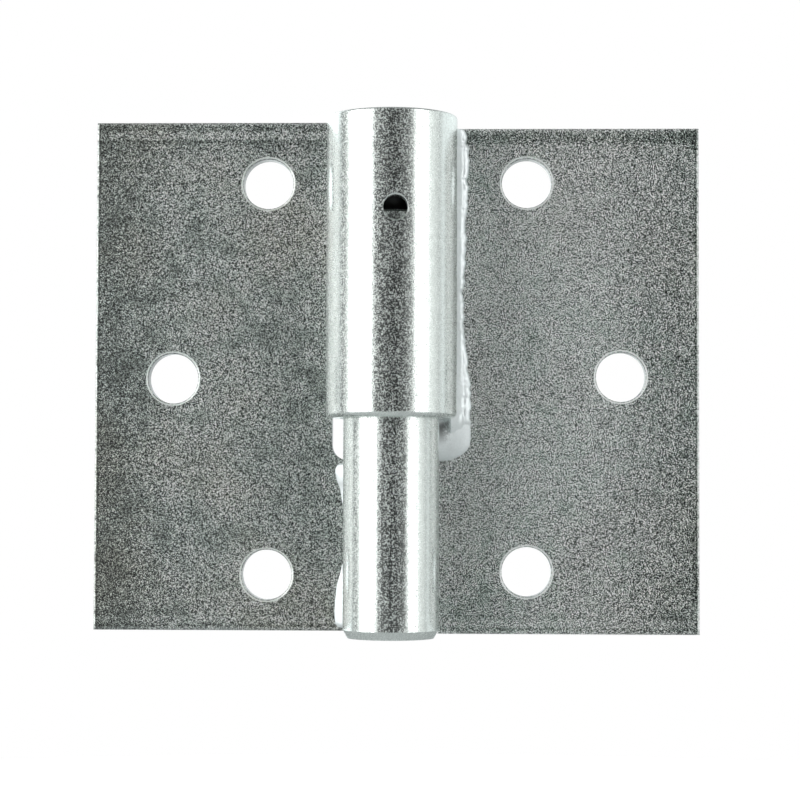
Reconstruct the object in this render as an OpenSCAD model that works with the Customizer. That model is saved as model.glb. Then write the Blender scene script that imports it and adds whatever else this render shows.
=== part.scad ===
// Lift-off gate hinge: two notched steel plates, a round pin on one and a
// tube that drops over it on the other, with a ball between their ends.
// Millimetres. +Z up along the pin, +X to the tube's plate, -Y to the front.
// The origin is the centre of the whole hinge's box.

/* [Plates] */
// Height of both plates
plate_h = 106; // [90:1:200]
// Thickness of both plates
plate_t = 4; // [3:0.5:6]
// Width of both plates at the ear, from the outer edge
plate_w = 53.8; // [45:0.2:100]
// Height of the gap in the plate that is left under the tube
notch_below = 8.4; // [6:0.2:20]
// Radius of the inner corner where the notch ends
notch_r = 3; // [1:0.5:4]
// Radius of the rolled top and bottom edges
edge_r = 0.7; // [0.2:0.1:1]
// Radius of the sheared outer edge
side_r = 0.3; // [0.1:0.1:1]

/* [Screw holes] */
// Diameter of the screw holes
hole_d = 10.4; // [6:0.1:14]
// Height between the top and bottom holes
hole_span = 81.5; // [60:0.5:90]
// From a plate's outer edge to the middle hole
hole_edge = 16.3; // [12:0.1:24]
// From the middle hole to the line of the other two
hole_step = 19.7; // [14:0.1:24]
// Radius of the rim that the punch drew in on the front
hole_rim = 0.5; // [0.2:0.1:1.2]
// How far the holes sit below the middle on the pin's plate, and above it on the tube's
hole_shift = 0.7; // [0:0.1:2]

/* [Pin and tube] */
// Diameter of the pin
pin_d = 19.7; // [16:0.1:24]
// Clearance round the pin in the tube
pin_gap = 0.4; // [0.1:0.05:0.8]
// Wall of the tube
tube_wall = 3.2; // [2.5:0.1:5]
// Length of the tube
tube_len = 62.1; // [50:0.1:80]
// How far the tube stands above the top of its own plate
tube_rise = 0.75; // [0:0.05:3]
// How far the pin stands out below its plate
pin_drop = 1; // [0.5:0.1:5]
// Width of the chamfer at the pin's lower end
pin_tip_w = 1; // [0.4:0.1:2]
// Height of the chamfer at the pin's lower end
pin_tip_h = 1.7; // [0.5:0.1:3]
// Radius of the tube's outer edge at the top
tube_edge = 0.5; // [0.2:0.1:1]
// Radius of the tube's outer edge at the foot
tube_foot = 1.1; // [0.3:0.1:1.5]

/* [Inside the tube] */
// Length of the plug that closes the tube
plug_len = 12.5; // [8:0.5:16]
// Clearance round the plug
plug_gap = 0.05; // [0.01:0.01:0.1]
// Diameter of the ball that carries the gate
ball_d = 10; // [8:0.5:12]
// Depth of the cone that the ball sits in, in the pin and in the plug
seat_h = 2; // [1.5:0.1:2.5]
// Clearance between the ball and each cone
ball_gap = 0.03; // [0.01:0.01:0.1]
// Diameter of the grease hole
grease_d = 5; // [3:0.5:7]
// Depth of the chamfer round the grease hole
grease_rim = 0.35; // [0.1:0.05:0.8]
// Turn of the grease hole from the front towards the tube's plate
grease_turn = 5; // [-30:1:30]

/* [Welds] */
// Leg of the two fillet welds on the pin
pin_weld = 3.6; // [2.5:0.1:4.5]
// Length of the upper weld on the pin
weld_up_len = 9; // [5:0.5:12]
// Length of the lower weld on the pin
weld_low_len = 14; // [8:0.5:17]
// Radius of the bead along the tube
tube_weld = 3.3; // [2.5:0.1:4]
// Radius of the bead's end below the tube
weld_end = 5.2; // [4:0.1:5.5]
// Gap between the pin's side and the weld and filling beside it
ear_gap = 0.35; // [0.3:0.05:2]
// How much further in the ear of the tube's plate reaches, behind the pin's side
ear_lap = 0.7; // [0:0.05:1]
// Gap between the tube and the pin's plate
notch_gap = 0.35; // [0.3:0.05:1.5]

/* [Hidden] */
$fn = 96;
eps = 0.01;

// Round parts
pin_r = pin_d / 2;
bore_r = pin_r + pin_gap;
tube_r = bore_r + tube_wall;
seat_r = seat_h * tan(60);
ball_up = (ball_d / 2 + ball_gap) / sin(60) - seat_h;

// Distances behind the pin's axis: each plate's back is level with its cylinder's back
pin_face = pin_r - plate_t;
cup_face = tube_r - plate_t;

// Distances beside the axis: the ear of the pin's plate meets the pin, the notch clears the tube
pin_ear = sqrt(pow(pin_r, 2) - pow(pin_face, 2)) + 0.3;
notch_x = sqrt(pow(tube_r + notch_gap, 2) - pow(pin_face, 2));
notch_w = notch_x - pin_ear;
cup_ear = pin_r + ear_gap;
pin_reach = pin_ear + plate_w;
cup_reach = cup_ear + plate_w;

// Heights, from the bottom of the hinge's box
z_bottom = -(plate_h + pin_drop) / 2;
z_plate = z_bottom + pin_drop;
z_top = z_plate + plate_h;
z_cup = z_plate - tube_rise;
z_tube = z_top - tube_len;
notch_h = tube_len + notch_below;
z_plug = z_top - plug_len;
z_pin = z_plug - 2 * ball_up;
z_ball = z_pin + ball_up;
z_ear = z_top - notch_h;

// The pin's axis lies off the box's middle, because the two plates reach out unequally
axis_x = (pin_reach - cup_reach) / 2;

// A plate's outline as seen from the front: x from the outer edge to the ear, y up.
// The ear can reach further in by a lap.
module outline(lap) {
    difference() {
        square([plate_w + lap, plate_h]);
        translate([plate_w - notch_w, plate_h - notch_h])
            square([notch_w + lap + 1, notch_h + 1]);
    }
    // The notch ends in a round inner corner
    translate([plate_w - notch_w, plate_h - notch_h])
        difference() {
            translate([-eps, -eps])
                square(min(notch_r, notch_w) + eps);
            translate([min(notch_r, notch_w), min(notch_r, notch_w)])
                circle(r = min(notch_r, notch_w));
        }
}

// What rounding takes off a corner at the origin
module corner_cut(r) {
    difference() {
        translate([-1, -1])
            square(1 + r);
        translate([r, r])
            circle(r = r);
    }
}

// What rounding takes off an edge of length l that runs along +X, with the corner at the origin
module edge_cut(r, l) {
    rotate([90, 0, 90])
        translate([0, 0, -1])
            linear_extrude(l + 2)
                corner_cut(r);
}

// A punched screw hole, with the front rim drawn in
module screw_hole() {
    rotate([-90, 0, 0]) {
        translate([0, 0, -1])
            cylinder(d = hole_d, h = plate_t + 2);
        rotate_extrude()
            difference() {
                translate([0, -1])
                    square([hole_d / 2 + hole_rim, 1 + hole_rim]);
                translate([hole_d / 2 + hole_rim, hole_rim])
                    circle(r = hole_rim);
            }
    }
}

// A plate in its own place: outer edge at x = 0, front at y = 0, bottom at z = 0
module plate(shift, lap) {
    difference() {
        translate([0, plate_t, 0])
            rotate([90, 0, 0])
                linear_extrude(plate_t)
                    outline(lap);
        // Rolled bottom and top edges, front and back
        edge_cut(edge_r, plate_w + lap);
        translate([0, plate_t, 0])
            mirror([0, 1, 0])
                edge_cut(edge_r, plate_w + lap);
        translate([0, 0, plate_h])
            mirror([0, 0, 1])
                edge_cut(edge_r, plate_w + lap);
        translate([0, plate_t, plate_h])
            mirror([0, 1, 0])
                mirror([0, 0, 1])
                    edge_cut(edge_r, plate_w + lap);
        // Sheared outer edge, front and back
        translate([0, 0, plate_h])
            rotate([0, 90, 0])
                edge_cut(side_r, plate_h);
        translate([0, plate_t, plate_h])
            rotate([0, 90, 0])
                mirror([0, 1, 0])
                    edge_cut(side_r, plate_h);
        translate([hole_edge, 0, plate_h / 2 + shift])
            screw_hole();
        for (s = [-1, 1])
            translate([hole_edge + hole_step, 0, plate_h / 2 + shift + s * hole_span / 2])
                screw_hole();
    }
}

// Plate of the pin, to the left
module pin_plate() {
    color([0.42, 0.43, 0.44])
        translate([axis_x - pin_reach, pin_face, z_plate])
            plate(-hole_shift, 0);
}

// Plate of the tube: the same plate turned over, to the right and a little lower
module cup_plate() {
    color([0.45, 0.47, 0.49])
        translate([axis_x + cup_reach, cup_face, z_cup])
            mirror([1, 0, 0])
                plate(hole_shift, ear_lap);
}

// Round bar pin, chamfered below, with a cone for the ball in its top end
module pin() {
    color([0.72, 0.74, 0.77])
        translate([axis_x, 0, 0])
            rotate_extrude()
                polygon([
                    [0, z_bottom],
                    [pin_r - pin_tip_w, z_bottom],
                    [pin_r, z_bottom + pin_tip_h],
                    [pin_r, z_pin - 0.5],
                    [pin_r - 0.5, z_pin],
                    [seat_r, z_pin],
                    [0, z_pin - seat_h]
                ]);
}

// Bearing ball between the pin and the plug
module thrust_ball() {
    color([0.8, 0.81, 0.83])
        translate([axis_x, 0, z_ball])
            sphere(d = ball_d);
}

// Plug that closes the tube's top and sits on the ball
module top_plug() {
    color([0.66, 0.68, 0.7])
        translate([axis_x, 0, 0])
            rotate_extrude()
                polygon([
                    [0, z_plug + seat_h],
                    [seat_r, z_plug],
                    [bore_r - plug_gap - 0.5, z_plug],
                    [bore_r - plug_gap, z_plug + 0.5],
                    [bore_r - plug_gap, z_top],
                    [0, z_top]
                ]);
}

// Tube with rounded outer edges, a lead-in chamfer below and the grease hole
module cup_tube() {
    color([0.76, 0.78, 0.81])
        translate([axis_x, 0, 0])
            difference() {
                rotate_extrude()
                    difference() {
                        translate([bore_r, z_tube])
                            square([tube_wall, tube_len]);
                        translate([tube_r, z_tube])
                            mirror([1, 0])
                                corner_cut(tube_foot);
                        translate([tube_r, z_top])
                            rotate(180)
                                corner_cut(tube_edge);
                        polygon([
                            [bore_r - 1, z_tube - 1],
                            [bore_r + 1.5, z_tube - 1],
                            [bore_r - 1, z_tube + 1.5]
                        ]);
                    }
                rotate([0, 0, grease_turn])
                    translate([0, 0, z_pin])
                        rotate([90, 0, 0]) {
                            cylinder(d = grease_d, h = tube_r + 1);
                            translate([0, 0, tube_r - grease_rim])
                                cylinder(d1 = grease_d, d2 = grease_d + 2 * grease_rim + 1, h = grease_rim + 0.5);
                        }
            }
}

// Fillet weld in the corner of the pin and its plate, from height z up over length l
module pin_fillet(z, l) {
    r = pin_weld * 0.72;
    color([0.85, 0.86, 0.87])
        translate([axis_x, 0, 0])
            difference() {
                translate([-pin_ear + 0.3 - pin_weld * 0.36, pin_face - pin_weld * 0.35, z + r]) {
                    cylinder(r = r, h = l - 2 * r);
                    sphere(r = r);
                    translate([0, 0, l - 2 * r])
                        sphere(r = r);
                }
                translate([0, 0, z - 1])
                    cylinder(r = pin_r, h = l + 2);
                translate([-pin_reach, pin_face, z - 1])
                    cube([pin_reach, plate_t + pin_weld, l + 2]);
            }
}

module pin_weld_upper() {
    pin_fillet(z_ear - 0.6 - weld_up_len, weld_up_len);
}

module pin_weld_lower() {
    pin_fillet(z_plate + 0.4, weld_low_len);
}

// Bead that joins the tube to its plate: it fills the notch beside the tube and ends below it
module cup_weld() {
    low = z_ear + 0.4;
    high = z_cup + plate_h - 0.3;
    bead_x = cup_ear + notch_w - 1.8;
    bead_y = cup_face - 2.05;
    fill_t = plate_t * 0.8;
    color([0.82, 0.84, 0.86])
        translate([axis_x, 0, 0])
            difference() {
                union() {
                    translate([bead_x, bead_y, low + weld_end])
                        cylinder(r = tube_weld, h = high - low - weld_end - tube_weld);
                    translate([bead_x, bead_y, high - tube_weld])
                        sphere(r = tube_weld);
                    translate([cup_ear + 0.3, cup_face - 0.5, low + weld_end])
                        sphere(r = weld_end);
                    translate([cup_ear, cup_face - 0.3, z_cup + plate_h - notch_h])
                        cube([notch_w + 0.5, fill_t + 0.3, notch_h - 0.6]);
                }
                // Clear of the tube, the pin, the plate and the plate's back
                translate([0, 0, z_tube])
                    cylinder(r = tube_r, h = tube_len + 1);
                translate([0, 0, z_bottom])
                    cylinder(r = pin_r + ear_gap, h = plate_h);
                translate([cup_reach, cup_face + plate_t, z_cup])
                    mirror([1, 0, 0])
                        rotate([90, 0, 0])
                            linear_extrude(plate_t)
                                outline(ear_lap);
                translate([0, cup_face + fill_t, z_cup])
                    cube([cup_reach, plate_t, plate_h]);
            }
}

pin_plate();
pin();
pin_weld_upper();
pin_weld_lower();
thrust_ball();
cup_plate();
cup_tube();
top_plug();
cup_weld();
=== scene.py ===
"""Looks of a lift-off gate hinge: zinc plated plates, bars and weld beads around the CAD frame."""

import math

import bpy
import numpy as np
from bpy.props import FloatProperty, FloatVectorProperty, PointerProperty
from mathutils import Matrix, Vector, noise


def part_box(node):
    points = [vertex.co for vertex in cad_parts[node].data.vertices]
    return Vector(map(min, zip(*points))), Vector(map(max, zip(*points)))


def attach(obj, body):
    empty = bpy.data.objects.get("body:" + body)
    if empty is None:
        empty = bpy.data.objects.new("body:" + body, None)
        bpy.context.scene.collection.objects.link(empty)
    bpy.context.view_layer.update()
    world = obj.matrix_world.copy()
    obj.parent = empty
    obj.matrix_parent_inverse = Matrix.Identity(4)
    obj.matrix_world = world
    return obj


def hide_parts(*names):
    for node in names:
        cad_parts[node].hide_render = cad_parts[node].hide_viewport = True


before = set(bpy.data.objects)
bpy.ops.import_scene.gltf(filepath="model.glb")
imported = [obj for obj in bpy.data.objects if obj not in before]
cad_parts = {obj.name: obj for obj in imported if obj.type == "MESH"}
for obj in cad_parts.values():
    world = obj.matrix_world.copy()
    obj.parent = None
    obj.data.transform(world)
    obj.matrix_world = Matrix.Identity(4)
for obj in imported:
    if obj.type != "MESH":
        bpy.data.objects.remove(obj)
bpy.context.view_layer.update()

bl_info = {
    "name": "Lift-off gate hinge",
    "version": (1, 0, 0),
    "blender": (4, 5, 0),
    "location": "3D View > Sidebar > Hinge",
    "description": "Zinc plated finish, weld beads and studio for a lift-off gate hinge",
    "category": "Object",
}

MM = 0.001

# Where the frame's own parts lie
tube_low, tube_high = (Vector(corner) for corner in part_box("cup_tube"))
pin_low, pin_high = (Vector(corner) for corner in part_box("pin"))
pin_plate_low, pin_plate_high = (Vector(corner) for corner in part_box("pin_plate"))
cup_plate_low, cup_plate_high = (Vector(corner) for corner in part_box("cup_plate"))
upper_low, upper_high = (Vector(corner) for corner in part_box("pin_weld_upper"))
lower_low = Vector(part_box("pin_weld_lower")[0])
seam_low, seam_high = (Vector(corner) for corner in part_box("cup_weld"))

AXIS_X = (tube_low.x + tube_high.x) / 2
PIN_R = (pin_high.x - pin_low.x) / 2
PIN_FACE = pin_plate_low.y
CUP_FACE = cup_plate_low.y
NOTCH_EDGE = AXIS_X + 14.48 * MM

# The room that the metal shows: turn from the front in degrees, brightness
ROOM = (
    (-180, 1.30), (-152, 1.7), (-140, 2.1), (-116, 2.0), (-107, 1.1), (-99, 0.32), (-91, 0.26),
    (-84, 0.7), (-60, 0.7), (-38, 0.26), (-28, 0.16), (-12, 0.09), (2, 0.05), (12, 0.04),
    (24, 0.09), (36, 0.2), (60, 1.0), (76, 0.90), (87, 0.74), (95, 0.5), (103, 1.0), (140, 1.15),
    (152, 1.0), (165, 0.85), (180, 1.0))

# What it shows above and below the hinge
ABOVE = (0.3, 0.31, 0.31)
BELOW = (0.50, 0.56, 0.54)

# Turns from the front that each lamp covers, in degrees
LEFT_LAMP = (-33.0, -77.0)
RIGHT_LAMP = (42.0, 66.0)
# How far their middles lie above the hinge's middle
LAMP_RISE = 0.06

# Sizes of the marks in the plates' plating
PATCH = 5.0 * MM
CLOUD = 26.0 * MM
CRACK = 1.1 * MM
FLECK = 0.9 * MM
SCRATCH = 0.6 * MM

# Bands along a plate's top and bottom edge: share of their width from the edge, shade
BAND = 6.0 * MM
LEFT_TOP = (
    (0.0, 1.1), (0.06, 1.1), (0.12, 0.58), (0.22, 0.66), (0.30, 1.3), (0.44, 1.25), (0.52, 0.48),
    (0.60, 0.70), (1.0, 0.92))
RIGHT_TOP = (
    (0.0, 1.0), (0.05, 0.9), (0.12, 0.6), (0.24, 0.42), (0.36, 0.5), (0.48, 0.8), (0.60, 0.98),
    (0.75, 0.92), (1.0, 1.0))
FOOT_BANDS = (
    (0.0, 1.0), (0.06, 0.9), (0.14, 0.6), (0.22, 1.05), (0.36, 1.1), (0.44, 0.75), (0.6, 0.92),
    (1.0, 0.95))

# Screw holes, as in the plates: their radius, from the outer edge to the middle hole, from there
# in to the other two, from the lower to the upper, and how far all sit off the plate's middle
HOLE_R = 5.2 * MM
HOLE_EDGE = 16.3 * MM
HOLE_STEP = 19.7 * MM
HOLE_SPAN = 81.5 * MM
HOLE_SHIFT = 0.7 * MM


class StageSettings(bpy.types.PropertyGroup):
    """Floor, backdrop, lamps and camera."""

    floor_drop: FloatProperty(
        name="Floor", description="How far the floor lies below the hinge's middle",
        default=0.16, unit="LENGTH")
    floor_radius: FloatProperty(
        name="Floor radius", description="Radius of the round floor", default=0.7, unit="LENGTH")
    dark: FloatVectorProperty(
        name="Front", description="Tint of the dim room in front of the hinge",
        default=(0.96, 1.0, 0.98), subtype="COLOR", size=3)
    sky: FloatVectorProperty(
        name="Backdrop", description="Tint of the pale backdrop behind the hinge",
        default=(0.94, 1.0, 1.0), subtype="COLOR", size=3)
    lamp_distance: FloatProperty(
        name="Lamp distance", description="From the hinge to each soft lamp",
        default=0.8, unit="LENGTH")
    lamp_height: FloatProperty(
        name="Lamp height", description="Height of each soft lamp", default=1.3, unit="LENGTH")
    left_glow: FloatProperty(
        name="Left lamp", description="Brightness of the left lamp's face", default=2.2)
    right_glow: FloatProperty(
        name="Right lamp", description="Brightness of the right lamp's face", default=1.7)
    lens: FloatProperty(
        name="Lens", description="Focal length on a 36 mm frame, in millimetres", default=100.3)
    camera_place: FloatVectorProperty(
        name="Camera", description="Where the camera stands",
        default=(0.01356, -0.457, -0.0231), subtype="TRANSLATION", size=3)
    camera_pitch: FloatProperty(
        name="Pitch", description="How far the camera looks up",
        default=math.radians(2.29), subtype="ANGLE")
    camera_yaw: FloatProperty(
        name="Yaw", description="How far the camera turns to the left",
        default=math.radians(1.60), subtype="ANGLE")
    camera_roll: FloatProperty(
        name="Roll", description="How far the camera tips to its side",
        default=math.radians(-0.18), subtype="ANGLE")


class FinishSettings(bpy.types.PropertyGroup):
    """Zinc plating on plates, bars and beads."""

    plate_zinc: FloatVectorProperty(
        name="Plate zinc", description="Colour of the dull plating on the plates",
        default=(0.82, 0.91, 0.86), subtype="COLOR", size=3)
    warm_zinc: FloatVectorProperty(
        name="Warm zinc", description="Colour of the warm clouds in the plates' plating",
        default=(0.80, 0.82, 0.73), subtype="COLOR", size=3)
    bar_zinc: FloatVectorProperty(
        name="Bar zinc", description="Colour of the bright plating on tube and pin",
        default=(0.90, 0.94, 0.92), subtype="COLOR", size=3)
    weld_zinc: FloatVectorProperty(
        name="Weld zinc", description="Colour of the plating on the beads",
        default=(0.90, 0.94, 0.95), subtype="COLOR", size=3)
    # Dark as grease and as painted shade of the hole the ball sits in
    ball_steel: FloatVectorProperty(
        name="Ball steel", description="Colour of the greased ball",
        default=(0.16, 0.16, 0.16), subtype="COLOR", size=3)
    grain: FloatProperty(
        name="Grain", description="Size of the grains in the plates' plating",
        default=0.00022, unit="LENGTH")
    grain_height: FloatProperty(
        name="Grain height", description="How far the grains stand up", default=0.00008,
        unit="LENGTH")


class WeldSettings(bpy.types.PropertyGroup):
    """Shape of the weld beads."""

    cell: FloatProperty(
        name="Cell", description="Edge of the cells that the beads are meshed with",
        default=0.00014, unit="LENGTH")
    ripple_pitch: FloatProperty(
        name="Ripple pitch", description="From one ripple of a bead to the next",
        default=0.0013, unit="LENGTH")
    ripple: FloatProperty(
        name="Ripple", description="Height of the ripples", default=0.00003, unit="LENGTH")
    lumps: FloatProperty(
        name="Lumps", description="Height of the uneven lumps", default=0.0002, unit="LENGTH")


class Value:
    """An output socket. Sums and products with it add Math nodes."""

    def __init__(self, graph, socket):
        self.graph = graph
        self.socket = socket

    def __add__(self, other):
        return self.graph.maths("ADD", self, other)

    def __radd__(self, other):
        return self.graph.maths("ADD", other, self)

    def __sub__(self, other):
        return self.graph.maths("SUBTRACT", self, other)

    def __rsub__(self, other):
        return self.graph.maths("SUBTRACT", other, self)

    def __mul__(self, other):
        return self.graph.maths("MULTIPLY", self, other)

    def __rmul__(self, other):
        return self.graph.maths("MULTIPLY", other, self)

    def __neg__(self):
        return self.graph.maths("MULTIPLY", self, -1.0)

    def __abs__(self):
        return self.graph.maths("ABSOLUTE", self)

    def at_least(self, floor):
        """This value, or the floor where it would be lower."""
        return self.graph.maths("MAXIMUM", self, floor)

    def at_most(self, ceiling):
        """This value, or the ceiling where it would be higher."""
        return self.graph.maths("MINIMUM", self, ceiling)

    def step(self, low, high):
        """0 below low, 1 above high, smooth between."""
        settings = {"interpolation_type": "SMOOTHSTEP"}
        sockets = {"Value": self, "From Min": low, "From Max": high}
        return self.graph.node("ShaderNodeMapRange", settings, sockets)["Result"]


class Made:
    """A node just made. Its outputs are read by name or number."""

    def __init__(self, graph, node):
        self.graph = graph
        self.made = node

    def __getitem__(self, output):
        return Value(self.graph, self.made.outputs[output])


class Graph:
    """Makes nodes in one tree."""

    def __init__(self, tree):
        self.tree = tree
        tree.nodes.clear()

    def node(self, kind, settings=None, sockets=None):
        """A node of any kind: its settings first, then the values or links of its sockets."""
        made = self.tree.nodes.new(kind)
        for name, setting in (settings or {}).items():
            if name == "stops":
                self.stops(made.color_ramp, setting)
            else:
                setattr(made, name, setting)
        for name, given in (sockets or {}).items():
            if isinstance(given, Value):
                self.tree.links.new(given.socket, made.inputs[name])
            elif made.inputs[name].type == "RGBA":
                made.inputs[name].default_value = (*given, 1.0)
            else:
                made.inputs[name].default_value = given
        return Made(self, made)

    @staticmethod
    def stops(ramp, stops):
        """Sets a ramp's stops, given as place and grey."""
        while len(ramp.elements) < len(stops):
            ramp.elements.new(1.0)
        for element, (place, shade) in zip(ramp.elements, stops):
            element.position = place
            element.color = (shade, shade, shade, 1.0)

    def maths(self, operation, *terms):
        """A Math node over values and numbers."""
        return self.node(
            "ShaderNodeMath", {"operation": operation}, dict(enumerate(terms)))["Value"]

    def vector_maths(self, operation, *terms):
        """A Vector Math node over colours or coordinates."""
        return self.node(
            "ShaderNodeVectorMath", {"operation": operation}, dict(enumerate(terms)))["Vector"]

    def mix(self, factor, first, second):
        """From the first colour to the second as the factor goes from 0 to 1."""
        settings = {"data_type": "RGBA"}
        return self.node("ShaderNodeMix", settings, {0: factor, 6: first, 7: second})[2]

    def tint(self, colour, shade):
        """A colour times a grey or a number."""
        return self.vector_maths("MULTIPLY", colour, shade)

    def stretch(self, place, by):
        """Coordinates times a vector."""
        return self.vector_maths("MULTIPLY", place, by)

    def speckle(self, place, size, detail, rough):
        """Noise from 0 to 1 whose lumps are about the given size."""
        sockets = {"Vector": place, "Scale": 1.0 / size, "Detail": detail, "Roughness": rough}
        return self.node("ShaderNodeTexNoise", None, sockets)["Fac"]

    def crystals(self, place, size):
        """Cells of about the given size, each with one value from 0 to 1."""
        cells = self.node("ShaderNodeTexVoronoi", None, {"Vector": place, "Scale": 1.0 / size})
        return self.axes(cells["Color"])[0]

    def axes(self, place):
        """The three axes of coordinates, or the three channels of a colour."""
        made = self.node("ShaderNodeSeparateXYZ", None, {"Vector": place})
        return made["X"], made["Y"], made["Z"]


def new_material(name):
    """An empty material and the graph that fills it."""
    material = bpy.data.materials.new(name)
    material.use_nodes = True
    return material, Graph(material.node_tree)


def finish_material(graph, sockets):
    """Ends a graph in one surface, of plain metal unless the sockets say otherwise."""
    surface = graph.node("ShaderNodeBsdfPrincipled", None, {"Metallic": 1.0, **sockets})
    graph.node("ShaderNodeOutputMaterial", None, {"Surface": surface["BSDF"]})


def dress(node, material):
    """Puts a material on a CAD node in place of its plain one."""
    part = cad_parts[node]
    if not part.material_slots:
        raise RuntimeError("no material slot on " + node)
    for slot in part.material_slots:
        slot.material = material


def plate_material(
        name, finish, seed, low, high, outer, top_bands, level, dull, contrast, size, pits, warm,
        edge_dark, foot_dark):
    """Dull zinc over rolled plate: crisp grain, cloudy patches, pits, scratches, painted glints,
    painted highlights along the rims and painted shade on the side walls.

    seed sets this plate's marks apart from the other's. low and high are the corners of its box,
    outer the x of its outer edge, top_bands the bands along its top edge. level is the
    brightness, dull the roughness, contrast and size are the grain's, pits and warm the shares of
    pits and of warm tint, edge_dark and foot_dark the dark towards the outer edge and the bottom.
    """
    size *= finish.grain
    material, graph = new_material(name)
    place = graph.node("ShaderNodeTexCoord")["Object"]
    here = graph.vector_maths("ADD", place, (seed, 0.0, seed))
    across, _, height = graph.axes(place)
    turned = graph.node("ShaderNodeVectorRotate", {"rotation_type": "Y_AXIS"}, {
        "Vector": here, "Angle": 0.7})["Vector"]

    grain = graph.speckle(here, size, 2.0, 0.65)
    cells = graph.crystals(turned, size * 0.8)
    fine = graph.speckle(turned, size * 0.9, 1.0, 0.5)
    coarse = graph.speckle(here, finish.grain * 2.7, 2.0, 0.6)
    patches = graph.speckle(here, PATCH, 3.0, 0.6)
    clouds = graph.speckle(here, CLOUD, 2.0, 0.5)

    # Grain, stronger where crackled pits gather in clusters
    side = abs(across - outer)
    worn = 0.22 * (1.0 - side.step(0.0, 30.0 * MM))
    worn = worn + 0.12 * (1.0 - (high.z - height).step(0.0, 20.0 * MM))
    cluster = (patches + 0.6 * clouds + worn).step(0.64, 1.0)
    crackle = abs(graph.speckle(here, CRACK, 3.0, 0.7) - 0.5)
    speck = grain + 0.12 * cells + 0.08 * coarse - 0.6
    shade = 0.54 - 0.08 * cluster + contrast * (0.62 + 0.6 * cluster) * speck
    shade = shade.at_least(0.06)
    shade = shade * (1.0 - pits * cluster * (1.0 - crackle.step(0.0, 0.045)))
    # Bright flecks: specks in the plating, lightened as painted glints and made a little rougher
    fleck_glints = graph.speckle(here, FLECK, 2.0, 0.75).step(0.66, 0.72)

    # Bands along the rolled top and bottom edges, and the dark along the outer edge
    wobble = 0.6 * MM * (patches - 0.5)
    top = (high.z - height + wobble) * (1.0 / BAND)
    bottom = (height - low.z + wobble) * (1.0 / BAND)
    banded = graph.node("ShaderNodeValToRGB", {"stops": top_bands}, {"Fac": top * 0.8})["Color"]
    footed = graph.node("ShaderNodeValToRGB", {"stops": FOOT_BANDS}, {"Fac": bottom * 0.8})["Color"]
    rim = 1.0 - edge_dark * (0.4 + 1.2 * clouds) * (1.0 - side.step(0.0, 22.0 * MM))
    fall = 1.0 - foot_dark * (1.0 - (height - low.z).step(0.0, 50.0 * MM))
    shade = shade * (1.6 * patches + 1.2 * clouds - 0.4) * rim * fall * level

    # Painted shade on the punched walls of the holes and on the other side walls, and a painted
    # highlight line where the hole rims start
    toward = 1.0 if outer > AXIS_X else -1.0
    middle = (low.z + high.z) / 2 + toward * HOLE_SHIFT
    from_hole = None
    for inward, rise in (
            (HOLE_EDGE, 0.0), (HOLE_EDGE + HOLE_STEP, -HOLE_SPAN / 2),
            (HOLE_EDGE + HOLE_STEP, HOLE_SPAN / 2)):
        beside = across - (outer - toward * inward)
        above = height - (middle + rise)
        away = graph.maths("SQRT", beside * beside + above * above)
        from_hole = away if from_hole is None else from_hole.at_most(away)
    _, facing, _ = graph.axes(graph.node("ShaderNodeTexCoord")["Normal"])
    wall_shade = 1.0 - abs(facing).step(0.15, 0.5)
    line = from_hole.step(HOLE_R + 0.1 * MM, HOLE_R + 0.25 * MM) * (1.0 - from_hole.step(
        HOLE_R + 0.4 * MM, HOLE_R + 0.55 * MM))
    # Painted highlights: a bright line round each hole's rim and a broken bright strip along the
    # outer edge, where the rounded edges would catch the lamps; the strip is also less rough
    edge_glint_band = side.step(0.05 * MM, 0.15 * MM) * (1.0 - side.step(0.35 * MM, 0.5 * MM))
    painted_edge_highlight = 1.2 * line + edge_glint_band * (patches + coarse).step(0.75, 1.1)
    # A darker line 0.5 to 0.9 mm inside the outer edge, between the bright ones
    edge_dark_line = side.step(0.5 * MM, 0.6 * MM) * (1.0 - side.step(0.75 * MM, 0.9 * MM))
    shade = shade * (1.0 - 0.65 * wall_shade) * (1.0 - 0.5 * edge_dark_line) + painted_edge_highlight

    # Long scratches, a few short ones across them, and the painted glints of the flecks
    lines = graph.speckle(graph.stretch(here, (1.0, 1.0, 0.01)), SCRATCH, 1.0, 0.5)
    short = graph.speckle(graph.stretch(turned, (1.0, 1.0, 0.08)), 0.5 * MM, 1.0, 0.5)
    shade = shade + 0.12 * lines.step(0.76, 0.8) + 0.3 * short.step(0.79, 0.82) + 0.5 * fleck_glints

    colour = graph.mix(clouds.step(0.4, 0.75) * warm, finish.plate_zinc, finish.warm_zinc)
    surface = graph.tint(
        graph.tint(colour, shade.at_least(0.05)), graph.tint(banded, footed))

    relief = grain + 0.8 * coarse - 0.5 * pits * cluster * (1.0 - crackle.step(0.0, 0.05))
    bump = graph.node("ShaderNodeBump", None, {
        "Strength": 1.0, "Distance": finish.grain_height, "Height": relief})
    rough = (dull + 0.08 * patches + 0.5 * (fine - 0.5) + 0.25 * fleck_glints) * (1.0 - 0.4 * edge_glint_band)
    # The clear coat shows at grazing angles, where the bars' sides mirror the plates
    finish_material(graph, {
        "Base Color": surface, "Roughness": rough, "Normal": bump["Normal"],
        "Coat Weight": 0.9, "Coat Roughness": 0.2, "Coat IOR": 2.4})
    return material


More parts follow.
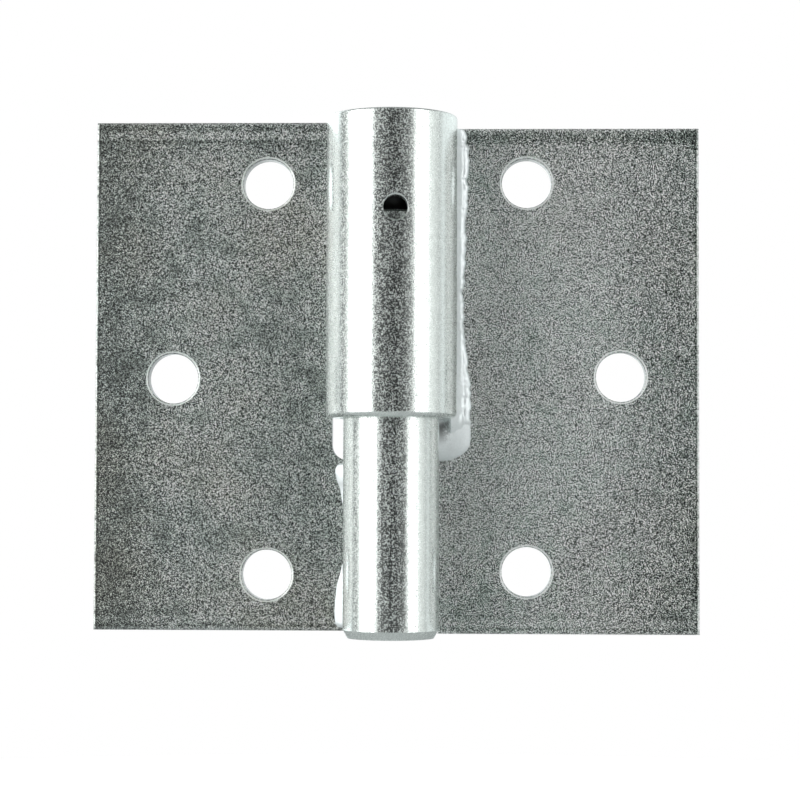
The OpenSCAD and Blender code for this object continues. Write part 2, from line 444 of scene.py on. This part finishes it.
def bar_material(name, finish, seed, drawn):
    """Bright zinc over bar: fine pitted grain, with drawn lines of the given strength along it."""
    material, graph = new_material(name)
    place = graph.node("ShaderNodeTexCoord")["Object"]
    here = graph.vector_maths("ADD", place, (seed, 0.0, seed))

    grain = graph.speckle(here, 0.27 * MM, 2.0, 0.65)
    cells = graph.crystals(here, 0.3 * MM)
    coarse = graph.speckle(graph.stretch(here, (1.0, 1.0, 0.55)), 0.9 * MM, 2.0, 0.6)
    clouds = graph.speckle(here, 12.0 * MM, 2.0, 0.5)
    lines = graph.speckle(graph.stretch(here, (1.0, 1.0, 0.02)), 0.6 * MM, 2.0, 0.5)

    shade = 0.95 + 0.25 * (coarse - 0.5) + 0.1 * (clouds - 0.5)
    surface = graph.tint(finish.bar_zinc, shade.at_most(1.05))
    relief = grain + 0.7 * coarse + 0.5 * drawn * lines
    bump = graph.node("ShaderNodeBump", None, {
        "Strength": 1.0, "Distance": 0.018 * MM, "Height": relief})
    pits = grain + 0.15 * (coarse - 0.5) + 0.12 * (cells - 0.5) + drawn * (lines - 0.5)
    rough = 0.12 + 0.52 * pits.step(0.46, 0.66)
    finish_material(graph, {"Base Color": surface, "Roughness": rough, "Normal": bump["Normal"]})
    return material


def weld_material(name, finish, shine, dull_below):
    """Zinc over a weld bead, with a given share of shine that ends below a height."""
    material, graph = new_material(name)
    place = graph.node("ShaderNodeTexCoord")["Object"]
    across, _, height = graph.axes(place)
    grain = graph.speckle(place, 0.4 * MM, 2.0, 0.6)
    clouds = graph.speckle(place, 3.0 * MM, 2.0, 0.5)
    high = (height + 2.0 * MM * clouds).step(dull_below, dull_below + 1.5 * MM)
    # Painted shade in the crevice between pin and bead, just below the tube
    beside = across - AXIS_X + 3.0 * MM * (grain - 0.5)
    near_pin = 1.0 - beside.step(PIN_R + 0.6 * MM, PIN_R + 2.5 * MM)
    crevice_shade = near_pin * (height - tube_low.z).step(-6.0 * MM, -1.5 * MM) * (1.0 - high)
    shade = (0.93 + 0.12 * clouds + 0.2 * (grain - 0.5)) * (1.0 - 0.8 * crevice_shade)
    surface = graph.tint(finish.weld_zinc, shade.at_most(1.05))
    bump = graph.node("ShaderNodeBump", None, {
        "Strength": 1.0, "Distance": 0.03 * MM, "Height": grain + clouds})
    rough = 0.46 + 0.12 * clouds - 0.4 * shine * high
    finish_material(graph, {
        "Base Color": surface, "Metallic": 0.3 + shine * high, "Roughness": rough,
        "Normal": bump["Normal"]})
    return material


def ball_material(name, finish):
    """Ball under a film of grease, its colour darkened also as painted shade of the hole it sits
    in.
    """
    material, graph = new_material(name)
    place = graph.node("ShaderNodeTexCoord")["Object"]
    film = graph.speckle(place, 1.5 * MM, 2.0, 0.6)
    # Painted shade: the ball's dark colour stands in for the shade in its hole, mottled by the
    # grease film
    surface = graph.tint(finish.ball_steel, 0.7 + 0.6 * film)
    finish_material(graph, {"Base Color": surface, "Roughness": 0.5 + 0.2 * film})
    return material


def loft(rings):
    """Points and faces of a closed body through rings of equally many points."""
    count = len(rings[0])
    points = [point for ring in rings for point in ring]
    faces = []
    for level in range(len(rings) - 1):
        for i in range(count):
            j = (i + 1) % count
            a = level * count
            b = a + count
            faces.append((a + i, a + j, b + j, b + i))
    faces.append(tuple(range(count))[::-1])
    faces.append(tuple(range(len(points) - count, len(points))))
    return points, faces


def ellipsoid(centre, radii, turns, levels):
    """Points and faces of a closed ellipsoid."""
    rings = []
    for level in range(1, levels):
        tilt = math.pi * level / levels
        ring = []
        for turn in range(turns):
            angle = 2 * math.pi * turn / turns
            ring.append((
                centre[0] + radii[0] * math.sin(tilt) * math.cos(angle),
                centre[1] + radii[1] * math.sin(tilt) * math.sin(angle),
                centre[2] - radii[2] * math.cos(tilt)))
        rings.append(ring)
    return loft(rings)


def smooth_curve(knots, at):
    """Value at a place on a smooth curve through knots of (place, value), in rising order."""
    at = min(max(at, knots[0][0]), knots[-1][0])
    i = 0
    while i < len(knots) - 2 and at > knots[i + 1][0]:
        i += 1
    (x0, y0), (x1, y1) = knots[i], knots[i + 1]
    xa, ya = knots[max(i - 1, 0)]
    xb, yb = knots[min(i + 2, len(knots) - 1)]
    start = (y1 - ya) / (x1 - xa) * (x1 - x0)
    end = (yb - y0) / (xb - x0) * (x1 - x0)
    t = (at - x0) / (x1 - x0)
    return (y0 * (1 + 2 * t) * (1 - t) ** 2 + start * t * (1 - t) ** 2
            + y1 * t * t * (3 - 2 * t) - end * t * t * (1 - t))


def weld_mesh(name, bodies, cell, smoothing):
    """Merges closed bodies into one smooth mesh."""
    points = []
    faces = []
    for body_points, body_faces in bodies:
        offset = len(points)
        points += body_points
        faces += [tuple(index + offset for index in face) for face in body_faces]
    rough = bpy.data.meshes.new(name + "_rough")
    rough.from_pydata(points, [], faces)
    rough.update()
    work = bpy.data.objects.new(name + "_work", rough)
    bpy.context.scene.collection.objects.link(work)
    remesh = work.modifiers.new("merge", "REMESH")
    remesh.mode = "VOXEL"
    remesh.voxel_size = cell
    soften = work.modifiers.new("soften", "SMOOTH")
    soften.factor = 0.5
    soften.iterations = smoothing
    graph = bpy.context.evaluated_depsgraph_get()
    mesh = bpy.data.meshes.new_from_object(work.evaluated_get(graph))
    bpy.data.objects.remove(work)
    bpy.data.meshes.remove(rough)
    mesh.name = name
    return mesh


def roughen(mesh, welds, seed, smooth_below, keep_clear=None):
    """Gives a bead its ripples and lumps, fewer below a height, then moves it clear of the pin."""
    count = len(mesh.vertices)
    places = np.empty(count * 3)
    mesh.vertices.foreach_get("co", places)
    places = places.reshape(-1, 3)
    normals = np.empty(count * 3)
    mesh.vertex_normals.foreach_get("vector", normals)
    normals = normals.reshape(-1, 3)
    offset = Vector((seed, seed * 2.0, seed * 3.0))
    # Turn of the ripples' wave for each metre across
    lean = 900.0
    for i in range(count):
        place = Vector(places[i])
        wander = noise.noise(place / (4.0 * MM) + offset)
        ripple = math.sin(2 * math.pi * (place.z / welds.ripple_pitch + wander)
                          + lean * (place.x - AXIS_X))
        lump = (noise.noise(place / (3.0 * MM) + offset)
                + 0.4 * noise.noise(place / (1.3 * MM) + offset)
                + 0.12 * noise.noise(place / (0.5 * MM) + offset))
        share = min(max((place.z - smooth_below) / (2.0 * MM), 0.0), 1.0)
        ripple *= welds.ripple * (0.5 + abs(wander)) * share
        places[i] += normals[i] * (ripple + welds.lumps * lump * (0.35 + 0.65 * share))
    if keep_clear:
        keep_clear(places)
    mesh.vertices.foreach_set("co", places.ravel())
    mesh.update()
    mesh.polygons.foreach_set("use_smooth", [True] * len(mesh.polygons))


def add_piece(name, mesh, material, body, node):
    """Adds a bead that rides on a body in the place of a CAD weld."""
    piece = bpy.data.objects.new(name, mesh)
    bpy.context.scene.collection.objects.link(piece)
    mesh.materials.clear()
    mesh.materials.append(material)
    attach(piece, body)
    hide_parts(node)


def pin_bead(legs, steps):
    """A bead in the corner of pin and plate, from (height, leg) knots."""
    corner = Vector((AXIS_X - math.sqrt(PIN_R ** 2 - PIN_FACE ** 2), PIN_FACE))
    corner_turn = math.atan2(corner.y, corner.x - AXIS_X)
    low, high = legs[0][0], legs[-1][0]
    facets = 24
    rings = []
    for step in range(steps + 1):
        z = low + (high - low) * step / steps
        leg = smooth_curve(legs, z)
        # The bead reaches about half as far up the pin as over the plate
        turn = corner_turn + leg * 0.47 / PIN_R
        on_pin = Vector((AXIS_X + PIN_R * math.cos(turn), PIN_R * math.sin(turn)))
        on_plate = Vector((corner.x - leg, PIN_FACE))
        shoulder = (on_plate + on_pin) / 2 + Vector((-0.03, -0.06)) * leg
        ring = [on_plate + Vector((0.0, 0.2 * MM))]
        for i in range(facets + 1):
            t = i / facets
            ring.append(on_plate.lerp(shoulder, t).lerp(shoulder.lerp(on_pin, t), t))
        inward = (Vector((AXIS_X, 0.0)) - on_pin).normalized()
        ring.append(on_pin + inward * 0.2 * MM)
        ring.append(corner + Vector((0.15, 0.15)) * MM)
        rings.append([(point.x, point.y, z) for point in reversed(ring)])
    return loft(rings)


class HINGE_OT_stage(bpy.types.Operator):
    """Sets the floor, the backdrop, the lamps and the camera"""

    bl_idname = "hinge.stage"
    bl_label = "Stage"

    def execute(self, context):
        stage = context.scene.hinge_stage
        context.scene.view_settings.view_transform = "Standard"
        self.backdrop(context.scene, stage)
        self.floor(context.scene, stage)
        self.lamp(context.scene, stage, "left_lamp", *LEFT_LAMP, stage.left_glow)
        self.lamp(context.scene, stage, "right_lamp", *RIGHT_LAMP, stage.right_glow)
        self.camera(context.scene, stage)
        return {"FINISHED"}

    def backdrop(self, scene, stage):
        """White to the camera; dim in front of the hinge and pale behind it for the metal."""
        world = bpy.data.worlds.new("studio")
        scene.world = world
        world.use_nodes = True
        graph = Graph(world.node_tree)
        way = graph.node("ShaderNodeTexCoord")["Generated"]
        side, back, up = graph.axes(way)
        # Turn from the front, from -0.5 over the left to 0.5 over the right
        turn = graph.maths("ARCTAN2", side, -back) * (0.5 / math.pi)
        ring = graph.node("ShaderNodeValToRGB", {"stops": [
            (0.5 + degrees / 360.0, shade) for degrees, shade in ROOM]}, {"Fac": turn + 0.5})
        behind = abs(turn).step(0.24, 0.29)
        room = graph.tint(graph.mix(behind, stage.dark, stage.sky), ring["Color"])
        # The slope at which the room gives way to what lies above and below
        slope = (0.35, 0.8)
        room = graph.mix(up.step(*slope), room, ABOVE)
        room = graph.mix((-up).step(*slope), room, BELOW)
        seen = graph.node("ShaderNodeLightPath")["Is Camera Ray"]
        colour = graph.mix(seen, room, (1.0, 1.0, 1.0))
        light = graph.node("ShaderNodeBackground", None, {"Color": colour, "Strength": 1.0})
        graph.node("ShaderNodeOutputWorld", None, {"Surface": light["Background"]})

    def floor(self, scene, stage):
        """A round white floor that keeps a soft shadow."""
        turns = 96
        points = [(stage.floor_radius * math.cos(2 * math.pi * i / turns),
                   stage.floor_radius * math.sin(2 * math.pi * i / turns),
                   -stage.floor_drop) for i in range(turns)]
        mesh = bpy.data.meshes.new("floor")
        mesh.from_pydata(points, [], [tuple(range(turns))])
        floor = bpy.data.objects.new("floor", mesh)
        scene.collection.objects.link(floor)
        material, graph = new_material("floor_white")
        seen = graph.node("ShaderNodeLightPath")["Is Camera Ray"]
        # The floor as the metal sees it, and as the camera does
        dim, pale = (0.62, 0.64, 0.64), (0.8, 0.8, 0.8)
        matt = graph.node("ShaderNodeBsdfDiffuse", None, {"Color": graph.mix(seen, dim, pale)})
        glow = graph.node("ShaderNodeEmission", None, {
            "Color": (1.0, 1.0, 1.0), "Strength": 0.72 * seen})
        both = graph.node("ShaderNodeAddShader", None, {0: matt["BSDF"], 1: glow["Emission"]})
        graph.node("ShaderNodeOutputMaterial", None, {"Surface": both["Shader"]})
        mesh.materials.append(material)

    def lamp(self, scene, stage, name, start, end, glow):
        """A tall soft lamp that covers the turns from start to end, in degrees from the front."""
        angle = math.radians((start + end) / 2)
        width = 2 * stage.lamp_distance * math.tan(math.radians(abs(end - start) / 2))
        light = bpy.data.lights.new(name, "AREA")
        light.shape = "RECTANGLE"
        light.size = width
        light.size_y = stage.lamp_height
        light.energy = glow * math.pi * width * stage.lamp_height
        lamp = bpy.data.objects.new(name, light)
        scene.collection.objects.link(lamp)
        lamp.location = (
            stage.lamp_distance * math.sin(angle), -stage.lamp_distance * math.cos(angle),
            LAMP_RISE)
        lamp.rotation_euler = (math.radians(90), 0.0, angle)

    def camera(self, scene, stage):
        """The camera at the photograph's viewing angle."""
        camera = bpy.data.cameras.new("camera")
        camera.lens = stage.lens
        camera.sensor_width = 36.0
        holder = bpy.data.objects.new("camera", camera)
        scene.collection.objects.link(holder)
        holder.matrix_world = (
            Matrix.Translation(stage.camera_place)
            @ Matrix.Rotation(stage.camera_yaw, 4, "Z")
            @ Matrix.Rotation(stage.camera_pitch, 4, "X")
            @ Matrix.Rotation(stage.camera_roll, 4, "Y")
            @ Matrix.Rotation(math.radians(90), 4, "X"))
        scene.camera = holder


class HINGE_OT_plates(bpy.types.Operator):
    """Gives both plates their dull, grainy zinc plating"""

    bl_idname = "hinge.plates"
    bl_label = "Plates"

    def execute(self, context):
        finish = context.scene.hinge_finish
        dress("pin_plate", plate_material(
            "pin_plate_zinc", finish, 0.3, pin_plate_low, pin_plate_high, outer=pin_plate_low.x,
            top_bands=LEFT_TOP, level=1.04, dull=0.56, contrast=11.3, size=0.96, pits=0.8,
            warm=0.9, edge_dark=0.50, foot_dark=0.06))
        dress("cup_plate", plate_material(
            "cup_plate_zinc", finish, 1.7, cup_plate_low, cup_plate_high, outer=cup_plate_high.x,
            top_bands=RIGHT_TOP, level=2.0, dull=0.95, contrast=10.6, size=1.02, pits=1.0,
            warm=0.35, edge_dark=0.42, foot_dark=0.22))
        return {"FINISHED"}


class HINGE_OT_bars(bpy.types.Operator):
    """Gives the pin, the tube, the plug and the ball their bright finish"""

    bl_idname = "hinge.bars"
    bl_label = "Pin, tube, plug and ball"

    def execute(self, context):
        finish = context.scene.hinge_finish
        dress("pin", bar_material("pin_zinc", finish, seed=0.2, drawn=0.3))
        dress("cup_tube", bar_material("tube_zinc", finish, seed=0.9, drawn=0.1))
        dress("top_plug", bar_material("plug_zinc", finish, seed=1.4, drawn=0.0))
        dress("thrust_ball", ball_material("ball_polish", finish))
        return {"FINISHED"}


class HINGE_OT_pin_welds(bpy.types.Operator):
    """Models the two beads that hold the pin on its plate"""

    bl_idname = "hinge.pin_welds"
    bl_label = "Pin welds"

    def execute(self, context):
        welds = context.scene.hinge_welds
        material = weld_material(
            "pin_weld_zinc", context.scene.hinge_finish, shine=0.25,
            dull_below=lower_low.z - 10.0 * MM)
        # Knots of height above the bead's lower end and leg, in millimetres
        upper = (
            (0.0, 1.2), (0.5, 2.3), (1.6, 2.5), (3.7, 2.9), (5.2, 3.5), (7.0, 3.85), (8.1, 3.7),
            (8.8, 2.9), (9.0, 1.2))
        lower = (
            (0.0, 1.2), (0.4, 3.2), (2.0, 3.85), (6.0, 3.85), (8.2, 3.6), (10.4, 3.1), (12.4, 2.6),
            (13.6, 2.2), (14.0, 1.2))
        for name, low, knots, node, seed in (
                ("pin_bead_upper", upper_low.z, upper, "pin_weld_upper", 3.1),
                ("pin_bead_lower", lower_low.z, lower, "pin_weld_lower", 7.7)):
            legs = [(low + height * MM, leg * MM) for height, leg in knots]
            points, faces = pin_bead(legs, 150)
            mesh = bpy.data.meshes.new(name)
            mesh.from_pydata(points, [], faces)
            mesh.update()
            roughen(mesh, welds, seed, upper_high.z)
            add_piece(name, mesh, material, "pin_leaf", node)
        return {"FINISHED"}


class HINGE_OT_tube_weld(bpy.types.Operator):
    """Models the bead along the tube and its round end below the tube"""

    bl_idname = "hinge.tube_weld"
    bl_label = "Tube weld"

    def execute(self, context):
        welds = context.scene.hinge_welds
        material = weld_material(
            "tube_weld_zinc", context.scene.hinge_finish, shine=0.28, dull_below=tube_low.z)
        bodies = [self.seam(), self.run_out(), self.end_blob(), self.filling()]
        mesh = weld_mesh("tube_bead", bodies, welds.cell, smoothing=5)
        roughen(mesh, welds, 1.3, tube_low.z, self.clear_pin)
        add_piece("tube_bead", mesh, material, "cup_leaf", "cup_weld")
        # What closes the notch looks like the plate
        mesh.materials.append(bpy.data.materials["cup_plate_zinc"])
        for face in mesh.polygons:
            if face.center.y > CUP_FACE + 0.03 * MM and face.center.z < tube_low.z:
                face.material_index = 1
        return {"FINISHED"}

    def seam(self):
        """The bead from the tube's side to the plate, its toe wandering as in the real weld."""
        # Knots of height and of the toe's distance from the axis, in millimetres
        toes = (
            (-8.4, 16.2), (-4.4, 16.3), (6.0, 15.4), (16.5, 14.75), (27.0, 15.2), (38.0, 15.5),
            (46.0, 15.9), (49.0, 15.6), (52.5, 14.9))
        # The bead's face: share of the way from the tube's side to the toe, and depth
        face = (
            (0.18, 7.35), (0.36, 8.0), (0.54, 8.4), (0.66, 8.47), (0.82, 8.66), (0.94, 8.88),
            (1.0, 9.15), (1.02, 9.7))
        # Where the face starts, from the axis
        root = 13.3
        low, high = tube_low.z - 2.6 * MM, seam_high.z
        steps = 160
        rings = []
        for step in range(steps + 1):
            z = low + (high - low) * step / steps
            wander = noise.noise(Vector((0.3, 0.7, z / (1.2 * MM))))
            toe = smooth_curve(toes, z / MM) + 0.45 * wander
            close = 1.0 - max(0.0, (z - high + 0.8 * MM) / (0.8 * MM)) ** 2 * 0.25
            spread = (toe - root) * close
            # Outline at this height: distance from the axis and depth, in millimetres
            ring = [(12.2, 5.5), (root, 6.6)]
            ring += [(root + share * spread, depth) for share, depth in face]
            ring += [(14.7, 9.7), (14.7, 12.5), (10.6, 12.3), (9.9, 8.6)]
            # Its end sinks into the blob
            sink = 1.6 * MM * max(0.0, (tube_low.z + 0.4 * MM - z) / (3.0 * MM)) ** 2
            rings.append([(AXIS_X + x * MM, min(y * MM + sink, 12.5 * MM), z) for x, y in ring])
        return loft(rings)

    def run_out(self):
        """The end of the bead, a rounded tongue that laps over the blob."""
        centre = (AXIS_X + 13.65 * MM, 9.0 * MM, tube_low.z + 0.1 * MM)
        return ellipsoid(centre, (1.35 * MM, 1.45 * MM, 2.7 * MM), 32, 24)

    def end_blob(self):
        """The smooth, slanting blob between pin and plate, below the tube."""
        # Knots of height above the blob's foot, in millimetres: its right edge, and its front
        # beside the pin
        edges = (
            (0.0, 10.6), (0.4, 12.3), (1.1, 14.1), (2.0, 15.3), (3.4, 16.2), (6.0, 16.4),
            (8.0, 16.2), (10.8, 16.0))
        fronts = (
            (0.0, 9.2), (0.5, 8.4), (1.3, 7.7), (2.6, 7.1), (5.0, 6.8), (8.0, 7.0), (10.8, 7.4))
        foot = seam_low.z + 0.55 * MM
        # From the axis: the blob's left side, and how far right its back fits into the notch
        left, notch = 9.3, 14.6
        steps, facets = 80, 16
        rings = []
        for step in range(steps + 1):
            rise = edges[-1][0] * step / steps
            edge = smooth_curve(edges, rise)
            front = smooth_curve(fronts, rise)
            # Outline at this height: distance from the axis and depth, in millimetres
            ring = [(9.9, 12.2), (9.9, 9.7), (left, 9.45)]
            for i in range(facets + 1):
                share = i / facets
                depth = front + (9.0 - front) * share ** 1.15 + 0.4 * share ** 12
                ring.append((left + (edge - left) * share, depth))
            ring += [(edge, 9.8), (min(edge, notch), 9.8), (min(edge, notch), 12.2)]
            rings.append([(AXIS_X + x * MM, y * MM, foot + rise * MM) for x, y in ring])
        return loft(rings)

    def filling(self):
        """What fills the notch below the tube's end."""
        low, high = seam_low.z - 0.2 * MM, tube_low.z + 1.0 * MM
        left, right = AXIS_X + 9.45 * MM, NOTCH_EDGE + 0.2 * MM
        front, back = CUP_FACE + 0.12 * MM, CUP_FACE + 3.0 * MM
        corners = ((left, front), (right, front), (right, back), (left, back))
        return loft([[(x, y, z) for x, y in corners] for z in (low, high)])

    @staticmethod
    def clear_pin(places):
        """Keeps the bead off the pin, with a hollow just below the tube."""
        away = places[:, :2] - np.array([AXIS_X, 0.0])
        far = np.hypot(away[:, 0], away[:, 1])
        gap, depth, length = 0.35 * MM, 1.5 * MM, 5.0 * MM
        below = (tube_low.z - places[:, 2]) / length
        hollow = depth * np.clip(1.0 - (2.0 * below - 1.0) ** 2, 0.0, 1.0)
        hollow[places[:, 1] > CUP_FACE - 0.1 * MM] = 0.0
        least = PIN_R + gap + hollow
        near = far < least
        places[near, :2] += away[near] * (least[near] / far[near] - 1.0)[:, None]
        places[:, 1] = np.minimum(places[:, 1], cup_plate_high.y - 0.5 * MM)


STEPS = (HINGE_OT_stage, HINGE_OT_plates, HINGE_OT_bars, HINGE_OT_pin_welds, HINGE_OT_tube_weld)


class HINGE_PT_sidebar(bpy.types.Panel):
    """Lists the steps that finish the hinge"""

    bl_idname = "HINGE_PT_sidebar"
    bl_label = "Lift-off gate hinge"
    bl_space_type = "VIEW_3D"
    bl_region_type = "UI"
    bl_category = "Hinge"

    def draw(self, context):
        for step in STEPS:
            self.layout.operator(step.bl_idname)


CLASSES = (StageSettings, FinishSettings, WeldSettings, *STEPS, HINGE_PT_sidebar)


def register():
    for cls in CLASSES:
        bpy.utils.register_class(cls)
    bpy.types.Scene.hinge_stage = PointerProperty(type=StageSettings)
    bpy.types.Scene.hinge_finish = PointerProperty(type=FinishSettings)
    bpy.types.Scene.hinge_welds = PointerProperty(type=WeldSettings)


def unregister():
    del bpy.types.Scene.hinge_welds
    del bpy.types.Scene.hinge_finish
    del bpy.types.Scene.hinge_stage
    for cls in reversed(CLASSES):
        bpy.utils.unregister_class(cls)


def main():
    register()
    bpy.ops.hinge.stage()
    bpy.ops.hinge.plates()
    bpy.ops.hinge.bars()
    bpy.ops.hinge.pin_welds()
    bpy.ops.hinge.tube_weld()


if __name__ == "__main__":
    main()
